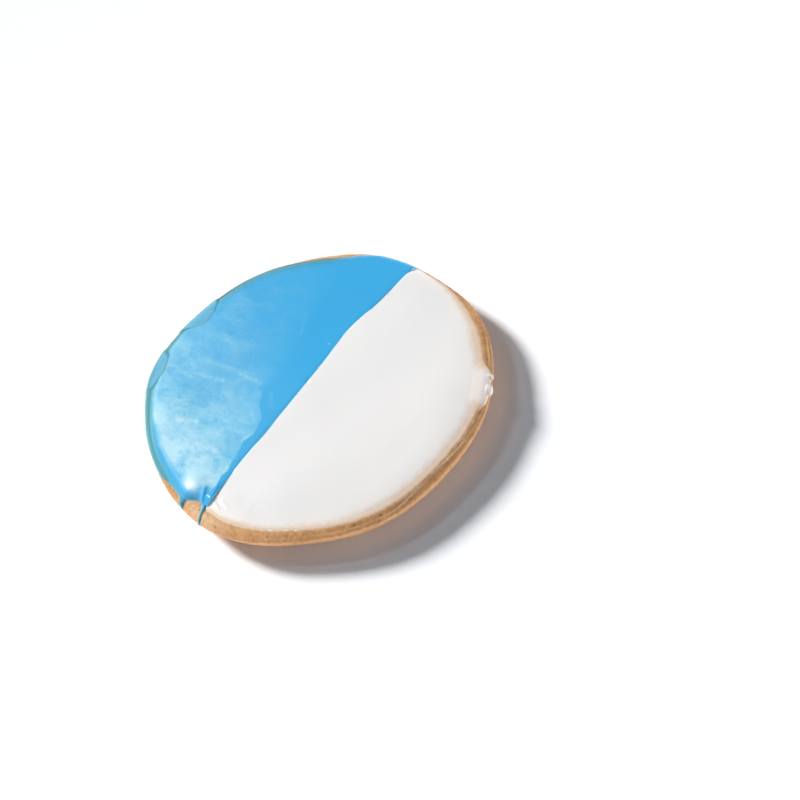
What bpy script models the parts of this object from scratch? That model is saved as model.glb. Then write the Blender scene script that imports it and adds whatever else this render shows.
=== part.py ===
"""An iced sugar cookie, half white and half blue, lying with its iced face up.

Metres, +Z up. The origin is on the surface that the cookie lies on, under the middle of its outline. The line
where the two icings meet runs along Y, with the white half on +X and the blue half on -X.

The biscuit was baked flat side down and then turned over: its iced face is nearly flat, with a thin lip round
its edge, and its domed side is underneath, resting on a flattened spot. A place on the biscuit is given by its
reach, the way to it along the surface from the middle of the iced face, and by its angle in degrees,
anticlockwise from +X seen from above. The icings are laid out in the flat plane that reach and angle span.
"""
import math
from typing import NamedTuple

import bpy
import numpy as np
from mathutils import Matrix, Vector


class Wave(NamedTuple):
    """Unevenness round the rim."""
    count: int              # waves in one turn
    height: float
    crest: float            # angle of a crest


class Swell(NamedTuple):
    """A slow wave of the iced face."""
    wavelength: float
    height: float
    direction: float        # angle it runs along
    phase: float            # degrees


class Film(NamedTuple):
    """A thin layer of icing beyond the full edge."""
    angle: float            # of its middle
    spread: float           # half the angle it takes up
    width: float


class Drip(NamedTuple):
    """A run of icing over the rim."""
    angle: float            # where it leaves the icing
    lean: float             # how far its tip is turned from there
    half_width: float
    tip_reach: float
    height: float


class Bite(NamedTuple):
    """A round gap in the full icing, where only a film is left: a circle in the unrolled plane."""
    u: float
    v: float
    radius: float


class Half(NamedTuple):
    """The icing of one half."""
    name: str
    side: int               # 1 on +X, -1 on -X
    start: float            # angle of its first end; it goes round anticlockwise from there
    full: float             # thickness
    taper: float            # width of the band where it thins towards its edge
    edge: tuple             # pairs of angle and reach of the full edge
    film: Film
    drips: tuple
    bites: tuple


# Half section of the biscuit, from the middle of the iced face over the lip and under to the flat spot, as
# pairs of distance from the middle and height
RIM_RADIUS = 0.0550
SECTION = (
    (0.0000, 0.00920), (0.0360, 0.00915), (0.0470, 0.00900), (0.0512, 0.00880), (0.0532, 0.00850),
    (0.0543, 0.00805), (RIM_RADIUS, 0.00745), (0.05475, 0.00660), (0.0544, 0.00520), (0.0530, 0.00330),
    (0.0495, 0.00150), (0.0430, 0.00035), (0.0350, 0.00000))

OUTLINE_WAVES = (
    Wave(2, 0.00027, 0), Wave(3, 0.00039, 58), Wave(4, 0.00039, 24), Wave(5, 0.00045, -18),
    Wave(6, 0.00021, -26), Wave(7, 0.00014, 8), Wave(8, 0.00025, 17))
LIP_WAVES = (Wave(2, 0.00012, 60), Wave(5, 0.00009, 20), Wave(9, 0.00006, 5))
LIP_SPREAD = 0.0030

FACE_SWELLS = (Swell(0.060, 0.00016, 20, 40), Swell(0.043, 0.00010, 105, 10), Swell(0.031, 0.00006, 160, 80))
FACE_SWELLS_END = 0.0480
FACE_SWELLS_FADE = 0.0100

# Groove just inside the lip, deepest on the white half
GROOVE_REACH = 0.0536
GROOVE_WIDTH = 0.0006
GROOVE_DEPTH = 0.00030
GROOVE_DEEPEST_ANGLE = -10

# The line where the icings meet: a slanted line with a dip towards the blue half and a turn at its far end
SEAM_OFFSET = -0.00146
SEAM_SLOPE = -0.045
SEAM_DIP = 0.00110
SEAM_DIP_AT = 0.0215
SEAM_DIP_WIDTH = 0.0096
SEAM_TURN = 0.00244
SEAM_TURN_AT = 0.0550
SEAM_TURN_WIDTH = 0.0221
SEAM_FADE = 0.0150

# Clearances that keep the three solids apart, and the least thickness of the icing
GAP = 0.0003
SEAM_GAP = 0.0004
THIN = 0.00020

WHITE_HALF = Half(
    name="icing_white", side=1, start=-90, full=0.00100, taper=0.0045,
    edge=((-90, 0.0514), (-78, 0.0522), (-60, 0.0525), (-40, 0.0528), (-20, 0.0532), (0, 0.0531),
          (15, 0.0537), (30, 0.0538), (45, 0.0530), (60, 0.0532), (79, 0.0549), (90, 0.0551)),
    film=Film(29, 11, 0.0012),
    drips=(Drip(28.0, -0.5, 0.0017, 0.0562, 0.00070), Drip(33.0, 0.0, 0.0008, 0.0554, 0.00040)),
    bites=())
BLUE_HALF = Half(
    name="icing_blue", side=-1, start=90, full=0.00105, taper=0.0034,
    edge=((90, 0.0551), (104, 0.0547), (120, 0.0529), (136, 0.0536), (150, 0.0542), (180, 0.0536),
          (215, 0.0531), (236, 0.0536), (260, 0.0534), (266, 0.0503), (270, 0.0503)),
    film=Film(198, 58, 0.0024),
    drips=(Drip(260.3, 2.2, 0.0010, 0.0566, 0.00050), Drip(268.9, 2.0, 0.0007, 0.0576, 0.00045)),
    bites=(Bite(-0.0558, 0.0035, 0.0080), Bite(-0.0637, -0.0260, 0.0186)))
BITE_STEP = 0.0010

# A drip is wide where it leaves the icing, has a narrower neck and ends in a round tip; places are shares of
# its length, and widths are shares of its width at the root
DRIP_ROOT_FLARE = 1.7
DRIP_NECK_AT = 0.35
DRIP_TIP_FROM = 0.75
DRIP_TIP_WIDTH = 0.45
DRIP_FADE = 0.0012

# Fineness of the faces
SECTION_STEPS = 40
BISCUIT_COLUMNS = 84
BISCUIT_ROWS = 22
BISCUIT_ROWS_CROWD_SPREAD = 0.0045
BISCUIT_ROWS_CROWD = 7.0
COLUMN_SPACING = 4.6
INNER_ROWS = 10
INNER_ROWS_POWER = 0.80
OUTER_ROWS = 6
OUTER_BAND = 0.0022
DRIP_COLUMNS = 4
DRIP_ROWS = 9
NORMAL_STEP = 0.0001
SMOOTH_ANGLE = 40

BISCUIT_COLOUR = (0.565, 0.319, 0.153)
WHITE_COLOUR = (0.840, 0.835, 0.820)
BLUE_COLOUR = (0.060, 0.423, 0.791)


def clear_scene():
    for item in list(bpy.data.objects):
        bpy.data.objects.remove(item, do_unlink=True)


def make_material(name, colour, roughness):
    material = bpy.data.materials.new(name)
    material.use_nodes = True
    shader = material.node_tree.nodes["Principled BSDF"]
    shader.inputs["Base Color"].default_value = (*colour, 1.0)
    shader.inputs["Roughness"].default_value = roughness
    shader.inputs["Metallic"].default_value = 0.0
    return material


def eased(part):
    """0 below 0, 1 above 1, and a smooth rise between."""
    t = np.clip(part, 0.0, 1.0)
    return t * t * (3.0 - 2.0 * t)


def bell(offset, width):
    return np.exp(-(offset / width) ** 2)


def smooth_section(points):
    """Distances, heights and reaches of samples of a curve through the section's points."""
    p = np.array(points)
    p = np.vstack([2 * p[0] - p[1], p, 2 * p[-1] - p[-2]])
    t = np.linspace(0.0, 1.0, SECTION_STEPS, endpoint=False)[:, None]
    pieces = []
    for a, b, c, d in zip(p[:-3], p[1:-2], p[2:-1], p[3:]):
        bend = 2 * a - 5 * b + 4 * c - d
        twist = -a + 3 * b - 3 * c + d
        pieces.append(b + 0.5 * t * ((c - a) + t * (bend + t * twist)))
    curve = np.vstack(pieces + [p[-2][None]])
    reach = np.concatenate([[0.0], np.cumsum(np.linalg.norm(np.diff(curve, axis=0), axis=1))])
    return curve[:, 0], curve[:, 1], reach


DISTANCES, HEIGHTS, REACHES = smooth_section(SECTION)
LIP_REACH = REACHES[np.argmax(DISTANCES)]
FLAT_SPOT_REACH = REACHES[-1]


def waves_round(waves, angle):
    return sum(wave.height * np.cos(wave.count * (angle - math.radians(wave.crest))) for wave in waves)


def face_swell(u, v):
    total = 0.0
    for swell in FACE_SWELLS:
        direction = math.radians(swell.direction)
        along = u * math.cos(direction) + v * math.sin(direction)
        total = total + swell.height * np.sin(2 * math.pi * along / swell.wavelength + math.radians(swell.phase))
    return total


def on_biscuit(u, v):
    """The point of the biscuit's surface at (u, v) of the unrolled plane."""
    reach, angle = np.hypot(u, v), np.arctan2(v, u)
    distance = np.interp(reach, REACHES, DISTANCES)
    height = np.interp(reach, REACHES, HEIGHTS)
    share = (distance / RIM_RADIUS) ** 2
    distance = distance * (1.0 + share * waves_round(OUTLINE_WAVES, angle) / RIM_RADIUS)
    height = height + waves_round(LIP_WAVES, angle) * bell(reach - LIP_REACH, LIP_SPREAD)
    height = height + face_swell(u, v) * eased((FACE_SWELLS_END - reach) / FACE_SWELLS_FADE)
    strength = 0.5 + 0.5 * np.cos(angle - math.radians(GROOVE_DEEPEST_ANGLE))
    height = height - GROOVE_DEPTH * strength * bell(reach - GROOVE_REACH, GROOVE_WIDTH)
    return np.stack([distance * np.cos(angle), distance * np.sin(angle), height], axis=-1)


def above_biscuit(u, v, lift):
    """The points that stand off the biscuit by lift, square to its surface."""
    along = on_biscuit(u + NORMAL_STEP, v) - on_biscuit(u - NORMAL_STEP, v)
    across = on_biscuit(u, v + NORMAL_STEP) - on_biscuit(u, v - NORMAL_STEP)
    normal = np.cross(along, across)
    normal /= np.linalg.norm(normal, axis=-1, keepdims=True)
    return on_biscuit(u, v) + normal * lift[..., None]


def biscuit_reaches():
    """Reaches of the biscuit's rows, which lie closer together near the lip."""
    reach = np.linspace(0.0, FLAT_SPOT_REACH, len(REACHES))
    density = 1.0 + BISCUIT_ROWS_CROWD * bell(reach - LIP_REACH, BISCUIT_ROWS_CROWD_SPREAD)
    total = np.concatenate([[0.0], np.cumsum(0.5 * (density[1:] + density[:-1]))])
    return np.interp(np.linspace(0.0, total[-1], BISCUIT_ROWS + 1)[1:], total, reach)


def grid_faces(index):
    """Triangles between the rows and columns of a grid of vertex numbers."""
    faces = []
    for inner, outer in zip(index[:-1], index[1:]):
        for j in range(len(inner) - 1):
            faces.append((inner[j], outer[j], outer[j + 1]))
            faces.append((inner[j], outer[j + 1], inner[j + 1]))
    return faces


def fan_faces(middle, ring):
    return [(middle, a, b) for a, b in zip(ring[:-1], ring[1:])]


def add_object(name, points, faces, material):
    mesh = bpy.data.meshes.new(name)
    mesh.from_pydata([Vector(point) for point in points], [], faces)
    mesh.materials.append(material)
    mesh.shade_smooth()
    mesh.set_sharp_from_angle(angle=math.radians(SMOOTH_ANGLE))
    mesh.update()
    part = bpy.data.objects.new(name, mesh)
    bpy.context.scene.collection.objects.link(part)
    return part


def make_biscuit(material):
    angles = np.linspace(0.0, 2 * math.pi, BISCUIT_COLUMNS, endpoint=False)
    reaches = biscuit_reaches()[:, None]
    u, v = reaches * np.cos(angles), reaches * np.sin(angles)
    middle = on_biscuit(np.zeros(1), np.zeros(1))
    points = np.vstack([middle, on_biscuit(u, v).reshape(-1, 3)])
    index = 1 + np.arange(u.size).reshape(u.shape)
    index = np.hstack([index, index[:, :1]]).tolist()
    flat_spot = tuple(reversed(index[-1][:-1]))
    return add_object("biscuit", points, fan_faces(0, index[0]) + grid_faces(index) + [flat_spot], material)


def seam(v):
    """How far the line where the icings meet lies from the Y axis."""
    dip = SEAM_DIP * bell(v - SEAM_DIP_AT, SEAM_DIP_WIDTH)
    turn = SEAM_TURN * bell(v - SEAM_TURN_AT, SEAM_TURN_WIDTH)
    return SEAM_OFFSET + SEAM_SLOPE * v - dip + turn


def edge_reach(half, angle):
    """Reach of the icing's full edge at an angle, without film and drips."""
    stations, reaches = np.array(half.edge).T
    i = np.clip(np.searchsorted(stations, angle) - 1, 0, len(stations) - 2)
    part = eased((angle - stations[i]) / (stations[i + 1] - stations[i]))
    return reaches[i] + (reaches[i + 1] - reaches[i]) * part


def film_reach(half, angle):
    """Reach of the icing's edge with the film beyond it."""
    share = 1.0 - np.abs(angle - half.film.angle) / half.film.spread
    return edge_reach(half, angle) + half.film.width * eased(1.5 * share)


def root_spread(drip):
    """Half the angle that a drip takes up where it leaves the icing."""
    return math.degrees(DRIP_ROOT_FLARE * drip.half_width / RIM_RADIUS)


def drip_width(part):
    """Width of a drip at a part of its length, as a share of its width at the root."""
    neck = 1.0 - (1.0 - 1.0 / DRIP_ROOT_FLARE) * eased(part / DRIP_NECK_AT)
    tip = np.clip((part - DRIP_TIP_FROM) / (1.0 - DRIP_TIP_FROM), 0.0, 1.0)
    return neck * (1.0 - (1.0 - DRIP_TIP_WIDTH) * tip ** 2)


def thickness(half, angle, reach, u, v):
    """Thickness of the icing; angle is its column's, before a drip leans or narrows."""
    inside = edge_reach(half, angle) - reach
    body = np.sqrt(eased(inside / half.taper))
    for bite in half.bites:
        body = body * eased((np.hypot(u - bite.u, v - bite.v) - bite.radius) / BITE_STEP)
    total = THIN + (half.full - THIN) * body
    for drip in half.drips:
        across = np.clip(1.0 - ((angle - drip.angle) / root_spread(drip)) ** 2, 0.0, 1.0)
        along = eased(1.0 - inside / OUTER_BAND) * np.sqrt(eased((drip.tip_reach - reach) / DRIP_FADE))
        total = np.maximum(total, THIN + (drip.height - THIN) * across * along)
    return total


def column_angles(half):
    """Angles of the icing's columns, and for each drip the numbers of its own columns."""
    angles, drip_columns = [half.start], []

    def spread_to(angle, steps):
        angles.extend(np.linspace(angles[-1], angle, steps + 1)[1:])

    for drip in half.drips:
        first = drip.angle - root_spread(drip)
        spread_to(first, math.ceil((first - angles[-1]) / COLUMN_SPACING))
        drip_columns.append(slice(len(angles) - 1, len(angles) + DRIP_COLUMNS))
        spread_to(drip.angle + root_spread(drip), DRIP_COLUMNS)
    end = half.start + 180
    spread_to(end, math.ceil((end - angles[-1]) / COLUMN_SPACING))
    return np.array(angles, float), drip_columns


def sheet_reaches(half, angles):
    """Reaches of the icing's rows, from near the middle to the end of its film."""
    band = edge_reach(half, angles) - OUTER_BAND
    inner = np.linspace(0.0, 1.0, INNER_ROWS + 1)[1:, None] ** INNER_ROWS_POWER
    outer = np.linspace(0.0, 1.0, OUTER_ROWS + 1)[1:, None]
    return np.vstack([inner * band, band + outer * (film_reach(half, angles) - band)])


def icing_layout(half):
    """Turned angle, reach and column angle of each vertex, and the triangles of the icing's upper face."""
    angles, drip_columns = column_angles(half)
    reach = sheet_reaches(half, angles)
    columns = np.broadcast_to(angles, reach.shape)
    index = 1 + np.arange(reach.size).reshape(reach.shape)
    faces = fan_faces(0, index[0].tolist()) + grid_faces(index.tolist())
    middle = np.zeros((1, 1))
    blocks = [(middle, middle, middle + half.start), (columns, reach, columns)]
    count = 1 + reach.size
    for drip, own in zip(half.drips, drip_columns):
        part = np.linspace(0.0, 1.0, DRIP_ROWS + 1)[1:, None]
        start = film_reach(half, angles[own])
        reach = start + part * (drip.tip_reach - start)
        columns = np.broadcast_to(angles[own], reach.shape)
        turned = drip.angle + (columns - drip.angle) * drip_width(part) + drip.lean * part
        strip = count + np.arange(reach.size).reshape(reach.shape)
        faces += grid_faces(np.vstack([index[-1:, own], strip]).tolist())
        blocks.append((turned, reach, columns))
        count += reach.size
    return [np.concatenate([block[i].ravel() for block in blocks]) for i in range(3)], faces


def closed_faces(top, count):
    """Upper face, the same triangles turned over count vertices further on, and walls between their rims."""
    bottom = [(c + count, b + count, a + count) for a, b, c in top]
    sides = [side for a, b, c in top for side in ((a, b), (b, c), (c, a))]
    shared = {(b, a) for a, b in sides}
    walls = []
    for a, b in sides:
        if (a, b) not in shared:
            walls.append((b, a, a + count))
            walls.append((b, a + count, b + count))
    return top + bottom + walls


def make_icing(half, material):
    (turned, reach, angle), top = icing_layout(half)
    u, v = reach * np.cos(np.radians(turned)), reach * np.sin(np.radians(turned))
    depth = thickness(half, angle, reach, u, v)
    u = u + seam(v) * bell(u, SEAM_FADE) + half.side * SEAM_GAP / 2
    upper = above_biscuit(u, v, GAP + depth)
    lower = above_biscuit(u, v, np.full(u.shape, GAP))
    return add_object(half.name, np.vstack([upper, lower]), closed_faces(top, len(u)), material)


def centre_on_outline(parts):
    """Put the origin under the middle of the whole outline, on the lowest point."""
    points = np.array([vertex.co for part in parts for vertex in part.data.vertices])
    low, high = points.min(axis=0), points.max(axis=0)
    shift = Matrix.Translation((-(low[0] + high[0]) / 2, -(low[1] + high[1]) / 2, -low[2]))
    for part in parts:
        part.data.transform(shift)


def main():
    clear_scene()
    biscuit = make_biscuit(make_material("biscuit", BISCUIT_COLOUR, 0.75))
    white = make_icing(WHITE_HALF, make_material("icing_white", WHITE_COLOUR, 0.40))
    blue = make_icing(BLUE_HALF, make_material("icing_blue", BLUE_COLOUR, 0.28))
    centre_on_outline([biscuit, white, blue])


main()
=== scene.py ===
"""The looks of an iced sugar cookie, half white and half blue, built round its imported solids.

Metres, +Z up, in the frame of the solids. A place on the biscuit is given by its reach, the way to it along
the surface from the middle of the iced face, and by its angle in degrees, anticlockwise from +X seen from
above. The icings are laid out in the flat plane that reach and angle span, whose coordinates are u and v.
Each piece follows the form of the solid that it stands for, with a finer mesh, the relief of crumb and
dried icing, and a gentler edge to the white icing.
"""

import math
from typing import NamedTuple

import bpy
import numpy as np
from mathutils import Matrix, Vector, kdtree


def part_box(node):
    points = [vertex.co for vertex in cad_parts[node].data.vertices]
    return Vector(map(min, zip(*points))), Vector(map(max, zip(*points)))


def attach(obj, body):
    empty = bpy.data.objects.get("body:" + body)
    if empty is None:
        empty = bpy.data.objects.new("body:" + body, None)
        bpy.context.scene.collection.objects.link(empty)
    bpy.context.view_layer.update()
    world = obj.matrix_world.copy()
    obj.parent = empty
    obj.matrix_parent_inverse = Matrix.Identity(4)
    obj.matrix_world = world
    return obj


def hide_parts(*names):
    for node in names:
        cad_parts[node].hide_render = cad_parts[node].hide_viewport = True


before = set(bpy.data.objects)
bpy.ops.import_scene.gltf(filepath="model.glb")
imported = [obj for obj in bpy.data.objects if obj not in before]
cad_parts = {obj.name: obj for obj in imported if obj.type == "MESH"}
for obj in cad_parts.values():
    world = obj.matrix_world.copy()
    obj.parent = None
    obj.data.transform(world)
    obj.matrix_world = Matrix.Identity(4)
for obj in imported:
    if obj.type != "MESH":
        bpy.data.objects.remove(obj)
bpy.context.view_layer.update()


class Wave(NamedTuple):
    """Unevenness round the rim."""
    count: int              # waves in one turn
    height: float
    crest: float            # angle of a crest


class Swell(NamedTuple):
    """A slow wave of the iced face."""
    wavelength: float
    height: float
    direction: float        # angle it runs along
    phase: float            # degrees


class Film(NamedTuple):
    """A thin layer of icing beyond the full edge."""
    angle: float            # of its middle
    spread: float           # half the angle it takes up
    width: float
    height: float
    cover: float            # how much of the biscuit's colour it hides


class Drip(NamedTuple):
    """A run of icing over the rim."""
    angle: float            # where it leaves the icing
    lean: float             # how far its tip is turned from there
    half_width: float
    tip_reach: float
    height: float


class Bite(NamedTuple):
    """A round gap in the full icing, where only a film is left: a circle in the unrolled plane."""
    u: float
    v: float
    radius: float
    film: float             # height of the film that is left


class BoxLight(NamedTuple):
    """A rectangular lamp that faces the cookie."""
    name: str
    azimuth: float          # from the cookie to the lamp, anticlockwise from +X
    elevation: float
    distance: float
    size: tuple
    power: float
    colour: tuple


class Half(NamedTuple):
    """The icing of one half."""
    name: str
    side: int               # 1 on +X, -1 on -X
    start: float            # angle of its first end; it goes round anticlockwise from there
    full: float             # height of its top above the biscuit
    taper: float            # width of the band where it thins towards its edge
    roundness: float        # 1 for a straight slope at the edge, less for a rounder one
    crown: float            # width of the band where its top falls gently, away from the seam; 0 for none
    least: float            # height just inside its edge
    seam_drop: float        # how far its top falls where it meets the other half
    seam_round: float       # width of that fall
    edge: tuple             # pairs of angle and reach of the full edge
    fade: tuple             # pairs of angle and width of the edge band that the biscuit shows through
    films: tuple
    drips: tuple
    bites: tuple
    bulges: tuple           # soft rises of its top: u, v, width and height
    ridges: tuple           # raised lines: from (u, v), to (u, v), width and height


# Half section of the biscuit, as pairs of distance from the middle and height
RIM_RADIUS = 0.0550
SECTION = (
    (0.0000, 0.00920), (0.0360, 0.00915), (0.0470, 0.00900), (0.0512, 0.00880), (0.0532, 0.00850),
    (0.0543, 0.00805), (RIM_RADIUS, 0.00745), (0.05475, 0.00660), (0.0544, 0.00520), (0.0530, 0.00330),
    (0.0495, 0.00150), (0.0430, 0.00035), (0.0350, 0.00000))
SECTION_STEPS = 40
FLAT_SPOT_STEPS = 40

OUTLINE_WAVES = (
    Wave(2, 0.00027, 0), Wave(3, 0.00039, 58), Wave(4, 0.00039, 24), Wave(5, 0.00045, -18),
    Wave(6, 0.00021, -26), Wave(7, 0.00014, 8), Wave(8, 0.00025, 17))
LIP_WAVES = (Wave(2, 0.00012, 60), Wave(5, 0.00009, 20), Wave(9, 0.00006, 5))
LIP_SPREAD = 0.0030

FACE_SWELLS = (
    Swell(0.060, 0.00016, 20, 40), Swell(0.043, 0.00010, 105, 10), Swell(0.031, 0.00006, 160, 80))
FACE_SWELLS_END = 0.0480
FACE_SWELLS_FADE = 0.0100

# Groove just inside the lip, deepest on the white half
GROOVE_REACH = 0.0536
GROOVE_WIDTH = 0.0006
GROOVE_DEPTH = 0.00012
GROOVE_DEEPEST_ANGLE = -10

# The line where the icings meet: a slanted line with a dip towards the blue half and a turn at its far end
SEAM_OFFSET = -0.00146
SEAM_SLOPE = -0.045
SEAM_DIP = 0.00110
SEAM_DIP_AT = 0.0215
SEAM_DIP_WIDTH = 0.0096
SEAM_TURN = 0.00244
SEAM_TURN_AT = 0.0550
SEAM_TURN_WIDTH = 0.0221
SEAM_FADE = 0.0150

WHITE_HALF = Half(
    name="white_icing", side=1, start=-90, full=0.00130, taper=0.0056, roundness=0.95, crown=0.0190,
    least=0.00016, seam_drop=0.00004, seam_round=0.0006,
    edge=((-90, 0.0513), (-78, 0.0519), (-60, 0.0525), (-40, 0.0531), (-20, 0.0534), (0, 0.0533),
          (15, 0.0537), (30, 0.0538), (45, 0.0530), (60, 0.0532), (79, 0.0549), (90, 0.0551)),
    fade=((-90, 0.0036), (-78, 0.0038), (-60, 0.0044), (-40, 0.0050), (-15, 0.0066), (50, 0.0064),
          (75, 0.0038), (90, 0.0020)),
    films=(Film(29, 11, 0.0014, 0.00045, 0.80),),
    drips=(Drip(28.0, -0.5, 0.0013, 0.0562, 0.00075), Drip(33.0, 0.3, 0.0007, 0.0560, 0.00060)),
    bites=(),
    bulges=((0.0375, 0.0125, 0.0110, 0.00022), (0.0060, -0.0440, 0.0040, 0.00012)),
    ridges=(((0.0022, -0.0478), (0.0045, -0.0486), 0.0005, 0.00013),
            ((0.0040, -0.0462), (0.0066, -0.0468), 0.0006, 0.00008)))
BLUE_HALF = Half(
    name="blue_icing", side=-1, start=90, full=0.00135, taper=0.0034, roundness=0.75, crown=0,
    least=0.00022, seam_drop=0.00014, seam_round=0.0016,
    edge=((90, 0.0551), (104, 0.0547), (120, 0.0529), (136, 0.0536), (150, 0.0542), (180, 0.0536),
          (215, 0.0531), (236, 0.0536), (260, 0.0534), (266, 0.0503), (270, 0.0503)),
    fade=((90, 0.0010), (270, 0.0010)),
    films=(Film(185, 62, 0.0030, 0.00022, 0.0), Film(238, 18, 0.0020, 0.00022, 0.0)),
    drips=(Drip(260.3, 1.4, 0.0009, 0.0557, 0.00050), Drip(268.9, 1.8, 0.0006, 0.0572, 0.00045)),
    bites=(Bite(-0.0575, 0.0036, 0.0085, 0.00052), Bite(-0.0564, -0.0230, 0.0105, 0.00048)),
    bulges=((-0.0080, -0.0462, 0.0032, 0.00050), (-0.0330, -0.0280, 0.0060, 0.00012)),
    ridges=(((-0.0034, -0.0460), (-0.0014, -0.0500), 0.0005, 0.00030),
            ((-0.0006, -0.0430), (0.0010, -0.0495), 0.0007, 0.00012),
            ((-0.0500, -0.0205), (-0.0485, -0.0235), 0.0006, 0.00025)))
# A bite's edge: width of the step in height, then of its dark border, painted shade along the step, and of
# the change of colour
BITE_STEP = 0.0010
BORDER_SHADE_MIDDLE = 0.00045
BORDER_SHADE_WIDTH = 0.00055
BITE_SOFTNESS = 0.0004

# The crown of the white icing is whole from this far off the seam. Beside the seam it is there only towards
# the near end, where this share of it comes in between two places along the seam
CROWN_FROM_SEAM = 0.0200
CROWN_NEAR_END = (-0.020, -0.040)
CROWN_NEAR_SHARE = 0.7

DRIP_ROOT_FLARE = 1.7
DRIP_NECK_AT = 0.35
DRIP_TIP_FROM = 0.75
DRIP_TIP_WIDTH = 0.45
DRIP_FADE = 0.0012

# The icings' edges come up out of the biscuit from this far under its surface
SUNK = 0.00015
FILM_TAPER = 0.0012
SEAM_LAP = 0.00012
UNDERFACE_DEPTH = 0.0003
UNDERFACE_MIDDLE = Vector((0.024, 0.0, 0.005))

# Fineness of the meshes
BISCUIT_COLUMNS = 760
BISCUIT_ROWS = 118
COLUMN_SPACING = 0.46
INNER_ROWS = 110
INNER_ROWS_POWER = 0.80
OUTER_ROWS = 26
OUTER_BAND = 0.0050
DRIP_COLUMNS = 12
DRIP_ROWS = 30
NORMAL_STEP = 0.0001

# Relief of the bare biscuit: ripples, given by height, wavelength and seed, and a grain drawn out round its
# side, given by height, most waves in a turn, wavelength and seed
BISCUIT_RIPPLES = ((0.00003, 0.0050, 12), (0.000025, 0.0019, 13), (0.000030, 0.0012, 14))
BISCUIT_GRAIN = ((0.00003, 16, 0.0060, 11),)
CRACK_DEPTH = 0.00012
CRACK_WAVELENGTH = 0.0110
CRACK_PATCHES = 0.0200
# The relief and the pores start at this reach. Some pores are in set places
SIDE_FROM_REACH = 0.0500
SIDE_FADE = 0.0030
PORES = 900
PORE_RADIUS = (0.00022, 0.00060)
PORE_DEPTH = 0.00016
SMALL_PORE_SHARE = 0.55
SET_PORES = ((6.1, 0.0562), (-39.9, 0.0529), (-36.5, 0.0533), (-28.0, 0.0534))
SET_PORE_RADIUS = 0.00050
# No pores are looked for on the face inside this radius and above this height, under the icing
COVERED_RADIUS = 0.048
COVERED_HEIGHT = 0.006

# A pale raised line that wanders along the lip, with a crease inside it whose colour is painted darker as
# shade
LIP_LINE = (
    (-180, 0.0541), (-60, 0.0541), (-38, 0.0542), (-22, 0.0540), (-14, 0.0531), (-6, 0.0528), (2, 0.0532),
    (12, 0.0539), (24, 0.0543), (42, 0.0541), (60, 0.0542), (180, 0.0541))
LIP_LINE_STRENGTH = (
    (-180, 0.15), (-75, 0.15), (-60, 0.25), (-34, 0.25), (-22, 1.0), (4, 1.0), (12, 0.4), (30, 0.7),
    (46, 0.7), (60, 0.3), (75, 0.15), (180, 0.15))
LIP_LINE_HEIGHT = 0.00012
LIP_LINE_WIDTH = 0.00026
CREASE_OFFSET = 0.00055
CREASE_SHARE = 0.5

# How brown the biscuit is. Its bands are the lip's top, the side, and where the side turns under, given by
# strength, reach past the lip's and width. The underside browns from one reach past the lip's to another.
# The middles are those of face and underside. Streaks are given like the grain, patches like the ripples
BAKE_LEAST = 0.32
BAKE_MIDDLES = (0.3, 0.6)
BAKE_BANDS = ((0.30, -0.0014, 0.0012), (0.28, 0.0030, 0.0022), (0.55, 0.0085, 0.0042))
BAKE_UNDER = 0.40
BAKE_UNDER_REACH = (0.008, 0.018)
BAKE_STREAKS = ((0.02, 24, 0.0020, 21), (0.04, 10, 0.0050, 22))
BAKE_PATCHES = ((0.08, 0.0130, 23), (0.05, 0.0045, 24), (0.04, 0.0020, 25))

# A paler patch of bare biscuit by the corner where the blue icing ends: angle, reach, half sizes, strength
PALE_CRUMB = (272.0, 0.0524, 11.0, 0.0026, 0.36)
LIP_LINE_CREAM = 0.35
CREAM_MOST = 0.7

# Bloom of the blue icing, a dull pale crust whose paleness is partly painted sheen, paler still above 1
# as painted sheen: it grows along one direction from a line before the middle, to 1 at BLOOM_SHEEN_WIDTH
# from there. Then its edge beside the seam, as pairs of the distance along the seam and the width of the
# plain band, and its edge beside the rim, as pairs of angle and width
BLOOM_SHEEN_DIRECTION = (-0.342, -0.940)
BLOOM_SHEEN_START = -0.014
BLOOM_SHEEN_WIDTH = 0.0476
BLOOM_SHEEN_POWER = 2.0
BLOOM_SHEEN_MOST = 2.1
PLAIN_BAND = (
    (-0.055, 0.0014), (-0.040, 0.0014), (-0.035, 0.0022), (-0.027, 0.0038), (-0.024, 0.0031),
    (-0.0185, 0.0041), (-0.0142, 0.0088), (-0.0097, 0.0110), (-0.004, 0.0085), (0.010, 0.0080),
    (0.018, 0.0120), (0.028, 0.0160), (0.060, 0.0180))
PLAIN_EDGE = (
    (90, 0.0010), (218, 0.0008), (230, 0.0012), (240, 0.0015), (248, 0.0021), (254, 0.0026), (260, 0.0030),
    (266, 0.0036), (270, 0.0030))
# Patches with more bloom and painted sheen: middle, width and strength
BLOOM_SHEEN_PATCHES = (
    (-0.0380, 0.0180, 0.0180, 0.18), (-0.0080, -0.0425, 0.0060, 0.35), (-0.0300, -0.0300, 0.0070, -0.25),
    (-0.0095, -0.0360, 0.0050, 0.25), (-0.0140, -0.0270, 0.0045, 0.30), (-0.0380, -0.0200, 0.0045, 0.15),
    (-0.0320, -0.0200, 0.0045, -0.25), (-0.0330, -0.0110, 0.0045, -0.15), (-0.0440, -0.0050, 0.0050, 0.15))
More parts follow.
